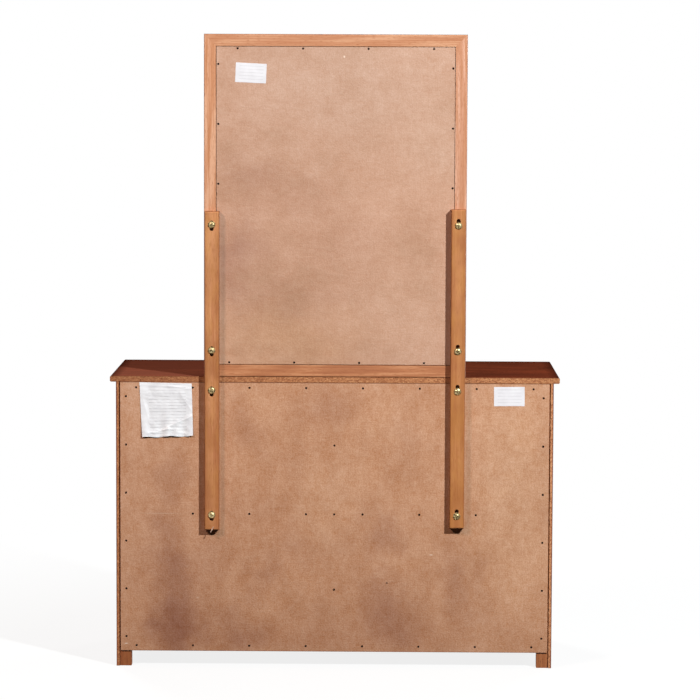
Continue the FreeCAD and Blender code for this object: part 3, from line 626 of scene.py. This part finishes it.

# Supports: two lengths of beech, rounded over on the outer edges and slotted by router for the screws.
# Beech is a warm orange brown with fine straight grain, sealed with one thin coat of stain that lies
# in soft blotches. The face darkens towards its long edges, partly from stain lying thicker there and
# partly as painted shade of the rounded edges.
BEECH = {"left": ("#ad6c45", "#b7774c", "#c28356"), "right": ("#bf7d54", "#ca8a5e", "#d49669")}
BEECH_PORE = "#a46a3a"
BEECH_ROUGHNESS = 0.5
EDGE_STAIN = ("#74401f", "#8a4f2b", "#9a5d36")
EDGE_PORE = "#6b3a20"
EDGE_TONE = "#8f5227"
STAIN_AND_SHADE_FROM = 0.4
STAIN_AND_SHADE_SHARE = 0.5
BLOTCH = (44.0, 44.0, 100.0)
BLOTCHED = {1: 0.35, 2: 0.65, 3: 0.0, 4: 0.5}
GOLDEN = "#d09550"
GOLDEN_PATCH = (22.0, 22.0, 60.0)
GILDED = {1: 0.36, 2: 0.66, 3: 0.0, 4: 0.3}
LOW_TONE = {"left": "#b46e2c", "right": "#9a5220"}
# The lower tone comes on between these two heights in metres.
LOWERED = {1: 1.2, 2: 0.4, 3: 0.0, 4: 0.3}
support_low, support_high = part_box("support_right")


def support_look(tree, tones, low_tone):
    """Stained beech on the face, darker along its edges by thicker stain and painted shade, and towards
    its lower end, and dark sides.
    """
    colour, rough, height = grain(tree, UPRIGHT, tones, BEECH_PORE, BEECH_ROUGHNESS)
    place = add(tree, "SeparateXYZ", {0: add(tree, "TexCoord").outputs["Object"]})
    reach = add(tree, "Math", {0: place.outputs[0]}, operation="ABSOLUTE").outputs[0]
    middle = (support_low.x + support_high.x) / 2
    half_width = (support_high.x - support_low.x) / 2
    beside = add(tree, "Math", {0: reach, 1: middle}, operation="SUBTRACT").outputs[0]
    off = add(tree, "Math", {0: beside}, operation="ABSOLUTE").outputs[0]
    # Darker towards the long edges: partly thicker stain, partly painted shade.
    stain_and_shade = add(
        tree, "MapRange", {0: off, 1: half_width * STAIN_AND_SHADE_FROM, 2: half_width, 3: 0.0, 4: STAIN_AND_SHADE_SHARE}
    )
    blotch = add(tree, "MapRange", {0: mottle(tree, BLOTCH), **BLOTCHED})
    golden = add(tree, "MapRange", {0: mottle(tree, GOLDEN_PATCH), **GILDED})
    low = add(tree, "MapRange", {0: place.outputs[2], **LOWERED})
    for share, tint in ((stain_and_shade, EDGE_TONE), (blotch, EDGE_TONE), (golden, GOLDEN), (low, low_tone)):
        stained = {0: share.outputs[0], 6: colour, 7: linear(tint)}
        colour = add(tree, "Mix", stained, data_type="RGBA").outputs[2]
    sides = grain(tree, UPRIGHT, EDGE_STAIN, EDGE_PORE, BEECH_ROUGHNESS)
    return over(tree, facing(tree, FORWARDS), (colour, rough, height), sides)


for side, tones in BEECH.items():
    finish = material(
        "sealed_beech_" + side,
        lambda tree, tones=tones, low_tone=LOW_TONE[side]: support_look(tree, tones, low_tone),
        LACQUER_RELIEF,
        **SATIN,
    )
    dress(["support_" + side], finish)

# Screws of the supports: oval heads with a cross recess in cup washers, driven by hand.
# Plated brass, paler than the knobs, tarnished in spots, and darkened in the recess and under the rim by
# grime and painted shade.
PLATED_TONES = [(0.36, "#4a3d26"), (0.5, "#94825a"), (0.66, "#cfbe90")]
PLATED_ROUGHNESS = {3: 0.55, 4: 0.32}
PLATED_RELIEF = 0.12
TARNISH_SPOT = 3.6
DENT = 1.6
GRIME_AND_SHADE = "#2a2013"
CREVICE = 1.5
CREVICE_RAYS = 8
GRIME_AND_SHADE_RANGE = {1: 0.9, 2: 0.5, 3: 0.0, 4: 0.95}


def plated(tree):
    tarnish = mottle(tree, [TARNISH_SPOT] * 3)
    dents = mottle(tree, [DENT] * 3, 1.0)
    tone = add(tree, "ValToRGB", {0: tarnish}, PLATED_TONES)
    # Darker where the surface is hemmed in: grime and painted shade in the recess and under the rim.
    near = {"Distance": CREVICE / MM_PER_METRE}
    open_air = add(tree, "AmbientOcclusion", near, only_local=True, samples=CREVICE_RAYS).outputs["AO"]
    grime_and_shade_share = add(tree, "MapRange", {0: open_air, **GRIME_AND_SHADE_RANGE})
    darkened = {0: grime_and_shade_share.outputs[0], 6: tone.outputs[0], 7: linear(GRIME_AND_SHADE)}
    colour = add(tree, "Mix", darkened, data_type="RGBA").outputs[2]
    rough = add(tree, "MapRange", {0: tarnish, **USUAL, **PLATED_ROUGHNESS})
    return colour, rough.outputs[0], dents


plated_brass = material("plated_brass", plated, PLATED_RELIEF, Metallic=1.0)
dress(["case_screws", "mirror_screws"], plated_brass)

# Stickers: two slips of coated white paper, one glued to the backing and one to the back panel.
# They are as thin as paper is, and a corner has begun to lift.
STICKER_SIZE = (83.0, 52.5)
STICKER_THICK = 0.2
STICKER_LIFT = 1.6
LIFT_FROM = 1.3
STICKER_CELLS = (16, 10)
STICKER_RULES = 6.0
STICKER_REACH = (0.12, 0.9)
STICKER_INK = 0.3
STICKER_RELIEF = 0.03
COATED = {"mirror": ("#dbdadc", "#e1e0e2", "#e6e5e7"), "case": ("#e6e3e5", "#ece9eb", "#f0eeef")}
PAPER_STOPS = (0.3, 0.5, 0.7)
PAPER_ROUGHNESS = {3: 0.6, 4: 0.8}
# Real pulp is a tenth as coarse, which is too fine to show.
PULP = 1.5
FOLD = 24.0
RULE_SHARE = 0.2
RULE_GREY = "#a09d9f"
WORN_PATCH = (26.0, 26.0, 7.0)
WORN = {1: 0.35, 2: 0.65, 3: 0.1}


def ruled_paper(tree, tones, rules, reach, ink):
    """White paper with faint, worn grey rules, which lie evenly down the sheet between two shares of its
    width. The tones go from dark to light."""
    pulp = mottle(tree, [PULP] * 3, 3.0)
    folds = mottle(tree, [FOLD] * 3, 3.0)
    tone = add(tree, "ValToRGB", {0: folds}, list(zip(PAPER_STOPS, tones)))
    across, down = add(tree, "SeparateXYZ", {0: add(tree, "TexCoord").outputs["UV"]}).outputs[:2]
    rows = add(tree, "Math", {0: down, 1: rules}, operation="MULTIPLY").outputs[0]
    row = add(tree, "Math", {0: rows}, operation="FRACT").outputs[0]
    ruled = add(tree, "Math", {0: row, 1: RULE_SHARE}, operation="LESS_THAN").outputs[0]
    past_left = add(tree, "Math", {0: across, 1: reach[0]}, operation="GREATER_THAN").outputs[0]
    before_right = add(tree, "Math", {0: across, 1: reach[1]}, operation="LESS_THAN").outputs[0]
    inked = add(tree, "MapRange", {0: mottle(tree, WORN_PATCH), **WORN, 4: ink}).outputs[0]
    for limit in (past_left, before_right, inked):
        ruled = add(tree, "Math", {0: ruled, 1: limit}, operation="MULTIPLY").outputs[0]
    colour = add(tree, "Mix", {0: ruled, 6: tone.outputs[0], 7: linear(RULE_GREY)}, data_type="RGBA")
    rough = add(tree, "MapRange", {0: pulp, **USUAL, **PAPER_ROUGHNESS})
    return colour.outputs[2], rough.outputs[0], pulp


sticker_paper = {
    body: material(
        "coated_paper_" + body,
        lambda tree, tones=tones: ruled_paper(tree, tones, STICKER_RULES, STICKER_REACH, STICKER_INK),
        STICKER_RELIEF,
        **DULL,
    )
    for body, tones in COATED.items()
}


def ruled_grid(columns, rows):
    """A flat sheet two units across and down, with a UV map for its rules."""
    shape = bmesh.new()
    shape.loops.layers.uv.new("sheet")
    bmesh.ops.create_grid(shape, x_segments=columns, y_segments=rows, size=1.0, calc_uvs=True)
    return shape


def piece(name, shape, finish, body):
    """A finished piece from its bmesh: it keeps its place in its mesh and rides on a body."""
    mesh = bpy.data.meshes.new(name)
    shape.to_mesh(mesh)
    shape.free()
    mesh.materials.append(finish)
    made = bpy.data.objects.new(name, mesh)
    bpy.context.scene.collection.objects.link(made)
    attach(made, body)
    return made


def sticker(name, centre, turn, body):
    """A slip on the plane that its centre lies on, turned by some degrees as seen from behind."""
    shape = ruled_grid(*STICKER_CELLS)
    for corner in shape.verts:
        lift = max(0.0, corner.co.x + corner.co.y - LIFT_FROM) ** 2
        corner.co.z = STICKER_LIFT * lift
        corner.co.x *= STICKER_SIZE[0] / 2
        corner.co.y *= STICKER_SIZE[1] / 2
    bmesh.ops.solidify(shape, geom=shape.faces[:], thickness=-STICKER_THICK)
    turned = Matrix.Rotation(math.radians(turn), 4, "Z")
    behind = Matrix.Rotation(math.pi, 4, "Z") @ Matrix.Rotation(math.pi / 2, 4, "X")
    placed = Matrix.Translation(centre) @ behind @ Matrix.Scale(1 / MM_PER_METRE, 4) @ turned
    bmesh.ops.transform(shape, matrix=placed, verts=shape.verts)
    bmesh.ops.recalc_face_normals(shape, faces=shape.faces)
    return piece(name, shape, sticker_paper[body], body)


backing_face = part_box("mirror_backing")[1].y
sticker("mirror_sticker", Vector((0.228, backing_face, 1.6175)), -2.8, "mirror")
sticker("case_sticker", Vector((-0.4735, panel_high.y, 0.746)), 0.4, "case")

# Splinter: a sliver of pale beech torn from the lower end of the support towards +X.
# It still hangs by its upper half, which lies on the support's face. Torn fibres are dull and pale.
SPLINTER_ENDS = (Vector((327.6, 233.1, 388.6)), Vector((335.4, 233.6, 373.4)))
SPLINTER_RADII = (1.5, 2.0)
SPLINTER_SIDES = 7
SPLINTER_CUTS = 5
SPLINTER_SWAY = 0.35
SPLINTER_WAVE = 0.5
SPLINTER_FLATNESS = 0.6
TORN = ("#d9b49a", "#e4c4ae", "#eed3c0")
TORN_PORE = "#c79a78"
TORN_ROUGHNESS = 0.75
TORN_RELIEF = 0.3
torn_beech = material(
    "torn_beech",
    lambda tree: grain(tree, UPRIGHT, TORN, TORN_PORE, TORN_ROUGHNESS),
    TORN_RELIEF,
    **DULL,
)
run = SPLINTER_ENDS[1] - SPLINTER_ENDS[0]
shape = bmesh.new()
bmesh.ops.create_cone(
    shape,
    segments=SPLINTER_SIDES,
    radius1=SPLINTER_RADII[0],
    radius2=SPLINTER_RADII[1],
    depth=run.length,
    cap_ends=True,
)
long_edges = [edge for edge in shape.edges if edge.calc_length() > run.length / 2]
bmesh.ops.subdivide_edges(shape, edges=long_edges, cuts=SPLINTER_CUTS)
for corner in shape.verts:
    corner.co.x += SPLINTER_SWAY * math.sin(corner.co.z * SPLINTER_WAVE)
    corner.co.y *= SPLINTER_FLATNESS
middle = Matrix.Translation(sum(SPLINTER_ENDS, Vector()) / 2)
laid = middle @ run.to_track_quat("Z", "Y").to_matrix().to_4x4()
bmesh.ops.transform(shape, matrix=Matrix.Scale(1 / MM_PER_METRE, 4) @ laid, verts=shape.verts)
bmesh.ops.recalc_face_normals(shape, faces=shape.faces)
piece("support_splinter", shape, torn_beech, "supports")

# Sheet of paper: thin and crumpled, glued to the back panel along its top, with a wavy lower edge.
# It was folded in the box, so flat facets meet in creases and catch the light.
SHEET_TOP = ((529.6, 779.9), (387.9, 777.4))
SHEET_BOTTOM = ((522.4, 630.0), (384.0, 634.5))
SHEET_CELLS = 80
SHEET_THICK = 0.15
SHEET_REST = 0.4
SHEET_RULES = 17.5
SHEET_REACH = (0.16, 0.88)
SHEET_INK = 0.6
SHEET_RELIEF = 0.04
THIN_PAPER = ("#e6e5e7", "#efeff0", "#f4f4f5")
# Facets: how many lie across and down, how high they stand, and the layer of noise that gives them. They
# grow to their height over the first part of the sheet, because the glue holds its top flat.
FACETS = [(3.0, 3.4, 1.7, 2.0), (7.0, 12.0, 0.55, 7.0)]
GLUE_EASE = 6.0
# The lower edge stands off the panel in waves: height in millimetres, turns in radians, and start.
HEM_HEIGHT = 2.6
HEM_WAVES = [(2.2, 13.0, 0.6), (1.0, 29.0, 0.0)]
HEM_DROP = 1.6
# Creases: their two ends in shares of the width and height from the top, and how high they stand.
CREASE_REACH = 0.07
CREASES = [
    (Vector((0.0, 0.04)), Vector((0.55, 0.055)), 0.5),
    (Vector((0.55, 0.055)), Vector((1.0, 0.11)), 0.9),
    (Vector((0.5, 0.83)), Vector((1.0, 0.62)), 1.2),
    (Vector((0.12, 0.93)), Vector((0.52, 0.86)), 1.3),
    (Vector((0.52, 0.86)), Vector((0.86, 0.95)), 0.8),
    (Vector((0.78, 0.2)), Vector((0.97, 0.5)), 0.5),
    (Vector((0.05, 0.3)), Vector((0.16, 0.75)), 0.5),
]


def crumple(u, v):
    """How far the sheet stands off the panel, in millimetres, u across and v down from its top."""
    facets = 0.0
    for across, down, rise, layer in FACETS:
        facets += rise * abs(noise.noise(Vector((u * across, v * down, layer))))
    hem = HEM_HEIGHT
    for rise, turns, start in HEM_WAVES:
        hem += rise * math.sin(u * turns + start)
    spot = Vector((u, v))
    ridges = 0.0
    for start, end, rise in CREASES:
        run = end - start
        along = min(1.0, max(0.0, (spot - start).dot(run) / run.length_squared))
        away = (spot - start.lerp(end, along)).length
        ridges += rise * max(0.0, 1.0 - away / CREASE_REACH) ** 2
    return SHEET_REST + min(1.0, v * GLUE_EASE) * facets + ridges + v ** 3 * hem


shape = ruled_grid(SHEET_CELLS, SHEET_CELLS)
hem_turns, hem_start = HEM_WAVES[0][1:]
for corner in shape.verts:
    u = (corner.co.x + 1) / 2
    v = (1 - corner.co.y) / 2
    top_place = Vector(SHEET_TOP[0]).lerp(Vector(SHEET_TOP[1]), u)
    bottom_place = Vector(SHEET_BOTTOM[0]).lerp(Vector(SHEET_BOTTOM[1]), u)
    x, z = top_place.lerp(bottom_place, v) / MM_PER_METRE
    z += v ** 4 * HEM_DROP / MM_PER_METRE * math.sin(u * hem_turns + hem_start)
    corner.co = Vector((x, panel_high.y + crumple(u, v) / MM_PER_METRE, z))
bmesh.ops.recalc_face_normals(shape, faces=shape.faces)
if sum(face.normal.y for face in shape.faces) < 0:
    bmesh.ops.reverse_faces(shape, faces=shape.faces)
bmesh.ops.solidify(shape, geom=shape.faces[:], thickness=SHEET_THICK / MM_PER_METRE)
bmesh.ops.recalc_face_normals(shape, faces=shape.faces)
thin_paper = material(
    "thin_paper",
    lambda tree: ruled_paper(tree, THIN_PAPER, SHEET_RULES, SHEET_REACH, SHEET_INK),
    SHEET_RELIEF,
    **DULL,
)
sheet = piece("paper_sheet", shape, thin_paper, "case")

# Floor: a plain pale studio floor that runs on into a white surround.
# It keeps a light shadow near the dresser and goes over to white further out. The light that it throws
# back on to the dresser is that of a darker floor, so that shadows on the back stay deep.
FLOOR_REACH = 30.0
FLOOR_TONE = "#f2f1ef"
FLOOR_DIM = "#2f2c29"
WHITE = "#ffffff"
# It goes over to white between these two metres from the middle of the dresser.
WHITENED = {1: 0.9, 2: 2.2, 3: 0.84, 4: 1.0}


def seen(tree):
    """Whether a surface is looked at, straight or in a reflection, and isn't lighting others."""
    rays = add(tree, "LightPath").outputs
    straight = {0: rays["Is Camera Ray"], 1: rays["Is Glossy Ray"]}
    mirrored = add(tree, "Math", straight, operation="MAXIMUM")
    both = {0: mirrored.outputs[0], 1: rays["Is Transmission Ray"]}
    return add(tree, "Math", both, operation="MAXIMUM").outputs[0]


floor_finish = bpy.data.materials.new("pale_floor")
floor_finish.use_nodes = True
tree = floor_finish.node_tree
tree.nodes.clear()
place = add(tree, "TexCoord").outputs["Object"]
away = add(tree, "VectorMath", {0: place}, operation="LENGTH").outputs["Value"]
white = add(tree, "MapRange", {0: away, **WHITENED})
lit = add(tree, "BsdfDiffuse", {"Color": linear(FLOOR_TONE)})
glow = add(tree, "Emission", {"Color": linear(WHITE), "Strength": 1.0})
shown = add(tree, "MixShader", {0: white.outputs[0], 1: lit.outputs[0], 2: glow.outputs[0]})
dim = add(tree, "BsdfDiffuse", {"Color": linear(FLOOR_DIM)})
blend = add(tree, "MixShader", {0: seen(tree), 1: dim.outputs[0], 2: shown.outputs[0]})
add(tree, "OutputMaterial", {"Surface": blend.outputs[0]})
shape = bmesh.new()
bmesh.ops.create_grid(shape, x_segments=1, y_segments=1, size=FLOOR_REACH)
floor_mesh = bpy.data.meshes.new("floor")
shape.to_mesh(floor_mesh)
shape.free()
floor_mesh.materials.append(floor_finish)
floor = bpy.data.objects.new("floor", floor_mesh)
bpy.context.scene.collection.objects.link(floor)

# Surround: the white backdrop of a studio, on all sides.
# It is white to look at, and gives the dresser only a faint, slightly warm light from all round.
SURROUND_TINT = "#fff6f0"
SURROUND_LIGHT = 0.012
world = bpy.data.worlds.new("surround")
bpy.context.scene.world = world
world.use_nodes = True
tree = world.node_tree
tree.nodes.clear()
soft = add(tree, "Background", {"Color": linear(SURROUND_TINT), "Strength": SURROUND_LIGHT})
backdrop = add(tree, "Background", {"Color": linear(WHITE), "Strength": 1.0})
blend = add(tree, "MixShader", {0: seen(tree), 1: soft.outputs[0], 2: backdrop.outputs[0]})
add(tree, "OutputWorld", {"Surface": blend.outputs[0]})

# Lamps: a small soft box high on each side behind the dresser, the one towards -X the stronger and the
# other one warmer, and two larger ones low in front, so that the front shows at the same level.
AIM = Vector((0.0, 0.2, 0.9))
for name, place, size, power, tint in (
    ("key", (-3.4, 4.1, 4.4), 0.2, 525.0, "#f3fbff"),
    ("fill", (3.1, 3.4, 4.1), 1.0, 140.0, "#ffe5db"),
    ("front_key", (2.6, -4.6, 2.6), 1.4, 200.0, WHITE),
    ("front_fill", (-3.2, -4.4, 1.9), 1.6, 120.0, WHITE),
):
    lamp = bpy.data.lights.new(name, "AREA")
    lamp.size = size
    lamp.energy = power
    lamp.color = linear(tint)[:3]
    stand = bpy.data.objects.new(name, lamp)
    stand.location = place
    stand.rotation_euler = (AIM - Vector(place)).to_track_quat("-Z", "Y").to_euler()
    bpy.context.scene.collection.objects.link(stand)

# Camera: behind the dresser at about eye height, a little to the -X side, with a long lens.
# Its turn, tilt and roll are in degrees, from level and facing the back.
CAMERA_PLACE = (-0.1181, 7.6897, 1.6262)
CAMERA_TURN = 0.594
CAMERA_TILT = 4.614
CAMERA_ROLL = 0.226
CAMERA_LENS = 142.7
CAMERA_SHIFT = -0.08
camera = bpy.data.objects.new("camera", bpy.data.cameras.new("camera"))
camera.data.lens = CAMERA_LENS
camera.data.shift_y = CAMERA_SHIFT
aimed = Matrix.Rotation(math.radians(180 + CAMERA_TURN), 4, "Z")
tilted = Matrix.Rotation(math.radians(90 - CAMERA_TILT), 4, "X")
rolled = Matrix.Rotation(math.radians(CAMERA_ROLL), 4, "Z")
camera.matrix_world = Matrix.Translation(CAMERA_PLACE) @ aimed @ tilted @ rolled
bpy.context.scene.collection.objects.link(camera)
bpy.context.scene.camera = camera
bpy.context.scene.view_settings.view_transform = "Standard"
